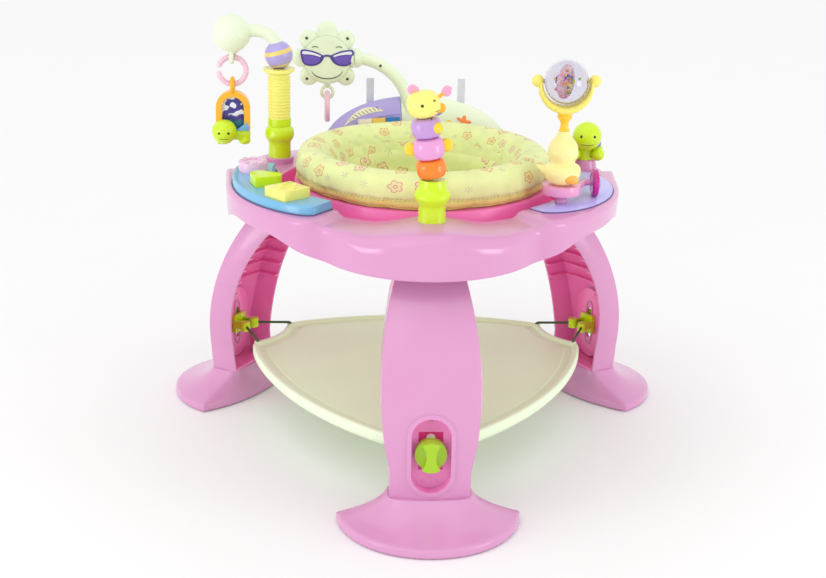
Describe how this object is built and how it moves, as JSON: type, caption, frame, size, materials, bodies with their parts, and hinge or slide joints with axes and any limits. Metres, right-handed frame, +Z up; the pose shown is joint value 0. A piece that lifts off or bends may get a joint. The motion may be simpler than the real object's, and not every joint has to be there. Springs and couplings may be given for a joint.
{
  "type": "baby jumper frame",
  "caption": "Three-legged baby activity jumper: lobed ring tray on curved channel legs, turning padded seat, hung bounce platform with height adjusters, and play toys round the tray.",
  "frame": {"origin": "on the floor under the middle of the bounding box", "axes": "+Z up, -Y to the front leg with the bug, +X to the spinning ball side"},
  "size_m": [0.7826, 0.723, 0.621],
  "materials": {
    "pink_plastic": "gloss",
    "magenta_plastic": "gloss",
    "wheel_plastic": "gloss",
    "lime_plastic": "gloss",
    "yellow_plastic": "gloss",
    "gold_plastic": "gloss",
    "orange_plastic": "gloss",
    "pale_green_plastic": "satin",
    "lavender_plastic": "gloss",
    "purple_plastic": "gloss",
    "blue_plastic": "gloss",
    "cream_plastic": "satin",
    "clear_plastic": "clear",
    "print_cloth": "woven",
    "cord_cloth": "braided",
    "grip_rubber": "matte",
    "screw_steel": "brushed"
  },
  "bodies": {
    "stand": {"tray_ring": "pink_plastic", "seat_race": "magenta_plastic", "leg_front": "pink_plastic", "leg_left": "pink_plastic", "leg_right": "pink_plastic", "foot_front": "pink_plastic", "foot_left": "pink_plastic", "foot_right": "pink_plastic", "foot_pads": "grip_rubber", "frame_screws": "screw_steel", "shape_tray": "blue_plastic", "toy_bosses": "pink_plastic", "post_base": "lime_plastic", "post_tube": "yellow_plastic", "flower_arm": "pale_green_plastic", "bug_base": "lime_plastic", "bug_shaft": "cream_plastic", "plate_right": "lavender_plastic", "boat": "pink_plastic", "duck": "yellow_plastic", "music_panel": "lavender_plastic", "panel_dome": "pale_green_plastic", "panel_tabs": "clear_plastic"},
    "seat": {"seat_ring": "magenta_plastic", "seat_glides": "cream_plastic", "seat_hoop": "print_cloth", "seat_sling": "print_cloth"},
    "platform": {"platform_deck": "cream_plastic", "cords": "cord_cloth"},
    "toy_arm": {"swivel_ball": "lavender_plastic", "toy_arm": "pale_green_plastic"},
    "link_left": {"link_left": "pink_plastic"},
    "hanging": {"hanging_arch": "gold_plastic", "hanging_turtle": "lime_plastic"},
    "flower": {"flower_head": "pale_green_plastic"},
    "link_flower": {"link_flower": "pink_plastic"},
    "wheel": {"wheel_tyre": "wheel_plastic", "wheel_hub": "lavender_plastic"},
    "moon": {"moon_yoke": "gold_plastic"},
    "rattle": {"clear_ball": "clear_plastic", "rattle_core": "yellow_plastic"},
    "perch": {"perch_turtle": "lime_plastic", "perch_shell": "purple_plastic"},
    "adjuster_front": {"clip_front": "lime_plastic"},
    "knob_front": {"knob_front": "lime_plastic"},
    "adjuster_left": {"clip_left": "lime_plastic"},
    "knob_left": {"knob_left": "lime_plastic"},
    "adjuster_right": {"clip_right": "lime_plastic"},
    "knob_right": {"knob_right": "lime_plastic"},
    "block_square": {"block_square": "yellow_plastic"},
    "block_heart": {"block_heart": "lime_plastic"},
    "block_round": {"block_round": "pink_plastic"},
    "bead_orange": {"bead_orange": "orange_plastic"},
    "bead_pink": {"bead_pink": "pink_plastic"},
    "bead_purple": {"bead_purple": "lavender_plastic"},
    "bug_head": {"bug_head": "yellow_plastic"},
    "key_white": {"key_white": "cream_plastic"},
    "key_yellow": {"key_yellow": "yellow_plastic"},
    "key_blue": {"key_blue": "blue_plastic"},
    "panel_button": {"panel_button": "lime_plastic"}
  },
  "joints": [
    {"name": "seat_turn", "type": "hinge", "parent": "stand", "child": "seat", "pos_m": [0, 0.07662, 0.3997], "axis": [0, 0, 1], "continuous": true},
    {"name": "adjuster_front_slide", "type": "slide", "parent": "stand", "child": "adjuster_front", "axis": [0, 0, 1], "range_m": [-0.02, 0.02]},
    {"name": "knob_front_turn", "type": "hinge", "parent": "adjuster_front", "child": "knob_front", "pos_m": [0, -0.26368, 0.112], "axis": [0, -1, 0], "range_deg": [0, 90]},
    {"name": "adjuster_left_slide", "type": "slide", "parent": "stand", "child": "adjuster_left", "axis": [0, 0, 1], "range_m": [-0.02, 0.02]},
    {"name": "knob_left_turn", "type": "hinge", "parent": "adjuster_left", "child": "knob_left", "pos_m": [-0.29471, 0.24677, 0.112], "axis": [-0.866, 0.5, 0], "range_deg": [0, 90]},
    {"name": "adjuster_right_slide", "type": "slide", "parent": "stand", "child": "adjuster_right", "axis": [0, 0, 1], "range_m": [-0.02, 0.02]},
    {"name": "knob_right_turn", "type": "hinge", "parent": "adjuster_right", "child": "knob_right", "pos_m": [0.29471, 0.24677, 0.112], "axis": [0.866, 0.5, 0], "range_deg": [0, 90]},
    {"name": "platform_bounce", "type": "slide", "parent": "adjuster_front", "child": "platform", "axis": [0, 0, 1], "range_m": [-0.025, 0.015], "stiffness_N_per_m": 4000, "springref_m": 0.004, "deforming": ["cords"]},
    {"name": "block_square_press", "type": "slide", "parent": "stand", "child": "block_square", "axis": [0, 0, 1], "range_m": [-0.004, 0], "stiffness_N_per_m": 400, "springref_m": 0.002},
    {"name": "block_heart_press", "type": "slide", "parent": "stand", "child": "block_heart", "axis": [0, 0, 1], "range_m": [-0.004, 0], "stiffness_N_per_m": 400, "springref_m": 0.002},
    {"name": "block_round_press", "type": "slide", "parent": "stand", "child": "block_round", "axis": [0, 0, 1], "range_m": [-0.004, 0], "stiffness_N_per_m": 400, "springref_m": 0.002},
    {"name": "toy_arm_swivel", "type": "hinge", "parent": "stand", "child": "toy_arm", "pos_m": [-0.21651, 0.20162, 0.56], "axis": [0, 0, 1], "range_deg": [-60, 60]},
    {"name": "link_left_swing", "type": "hinge", "parent": "toy_arm", "child": "link_left", "pos_m": [-0.28751, 0.20162, 0.558], "axis": [1, 0, 0], "range_deg": [-25, 25]},
    {"name": "hanging_swing", "type": "hinge", "parent": "link_left", "child": "hanging", "pos_m": [-0.28751, 0.20162, 0.5126], "axis": [1, 0, 0], "range_deg": [-25, 25]},
    {"name": "flower_rock", "type": "hinge", "parent": "stand", "child": "flower", "pos_m": [-0.101, 0.31662, 0.536], "axis": [1, 0, 0], "range_deg": [-40, 40]},
    {"name": "link_flower_swing", "type": "hinge", "parent": "flower", "child": "link_flower", "pos_m": [-0.144, 0.31662, 0.48], "axis": [0, 1, 0], "range_deg": [-25, 25]},
    {"name": "bead_orange_spin", "type": "hinge", "parent": "stand", "child": "bead_orange", "pos_m": [0, -0.17338, 0.463], "axis": [-0.1392, 0, 0.9903], "continuous": true},
    {"name": "bead_pink_spin", "type": "hinge", "parent": "stand", "child": "bead_pink", "pos_m": [0, -0.17338, 0.463], "axis": [-0.1392, 0, 0.9903], "continuous": true},
    {"name": "bead_purple_spin", "type": "hinge", "parent": "stand", "child": "bead_purple", "pos_m": [0, -0.17338, 0.463], "axis": [-0.1392, 0, 0.9903], "continuous": true},
    {"name": "bug_head_spin", "type": "hinge", "parent": "stand", "child": "bug_head", "pos_m": [0, -0.17338, 0.463], "axis": [-0.1392, 0, 0.9903], "continuous": true},
    {"name": "wheel_spin", "type": "hinge", "parent": "stand", "child": "wheel", "pos_m": [0.24, -0.02738, 0.4218], "axis": [1, 0, 0], "continuous": true},
    {"name": "moon_spin", "type": "hinge", "parent": "stand", "child": "moon", "pos_m": [0.188, -0.05738, 0.5038], "axis": [0, 0, 1], "continuous": true},
    {"name": "rattle_spin", "type": "hinge", "parent": "moon", "child": "rattle", "pos_m": [0.188, -0.05738, 0.5718], "axis": [1, 0, 0], "continuous": true},
    {"name": "perch_spin", "type": "hinge", "parent": "stand", "child": "perch", "pos_m": [0.2564, 0.16741, 0.41], "axis": [0, 0, 1], "continuous": true},
    {"name": "key_white_press", "type": "slide", "parent": "stand", "child": "key_white", "axis": [0.3677, -0.9101, 0.1908], "range_m": [-0.0025, 0], "stiffness_N_per_m": 300, "springref_m": 0.001},
    {"name": "key_yellow_press", "type": "slide", "parent": "stand", "child": "key_yellow", "axis": [0.2706, -0.9436, 0.1908], "range_m": [-0.0025, 0], "stiffness_N_per_m": 300, "springref_m": 0.001},
    {"name": "key_blue_press", "type": "slide", "parent": "stand", "child": "key_blue", "axis": [0.1705, -0.9667, 0.1908], "range_m": [-0.0025, 0], "stiffness_N_per_m": 300, "springref_m": 0.001},
    {"name": "panel_button_press", "type": "slide", "parent": "stand", "child": "panel_button", "axis": [0.4608, -0.8667, 0.1908], "range_m": [-0.0025, 0], "stiffness_N_per_m": 300, "springref_m": 0.001}
  ],
  "couplings": [
    {"joint": "adjuster_left_slide", "follows": "adjuster_front_slide", "ratio": 1},
    {"joint": "adjuster_right_slide", "follows": "adjuster_front_slide", "ratio": 1}
  ]
}
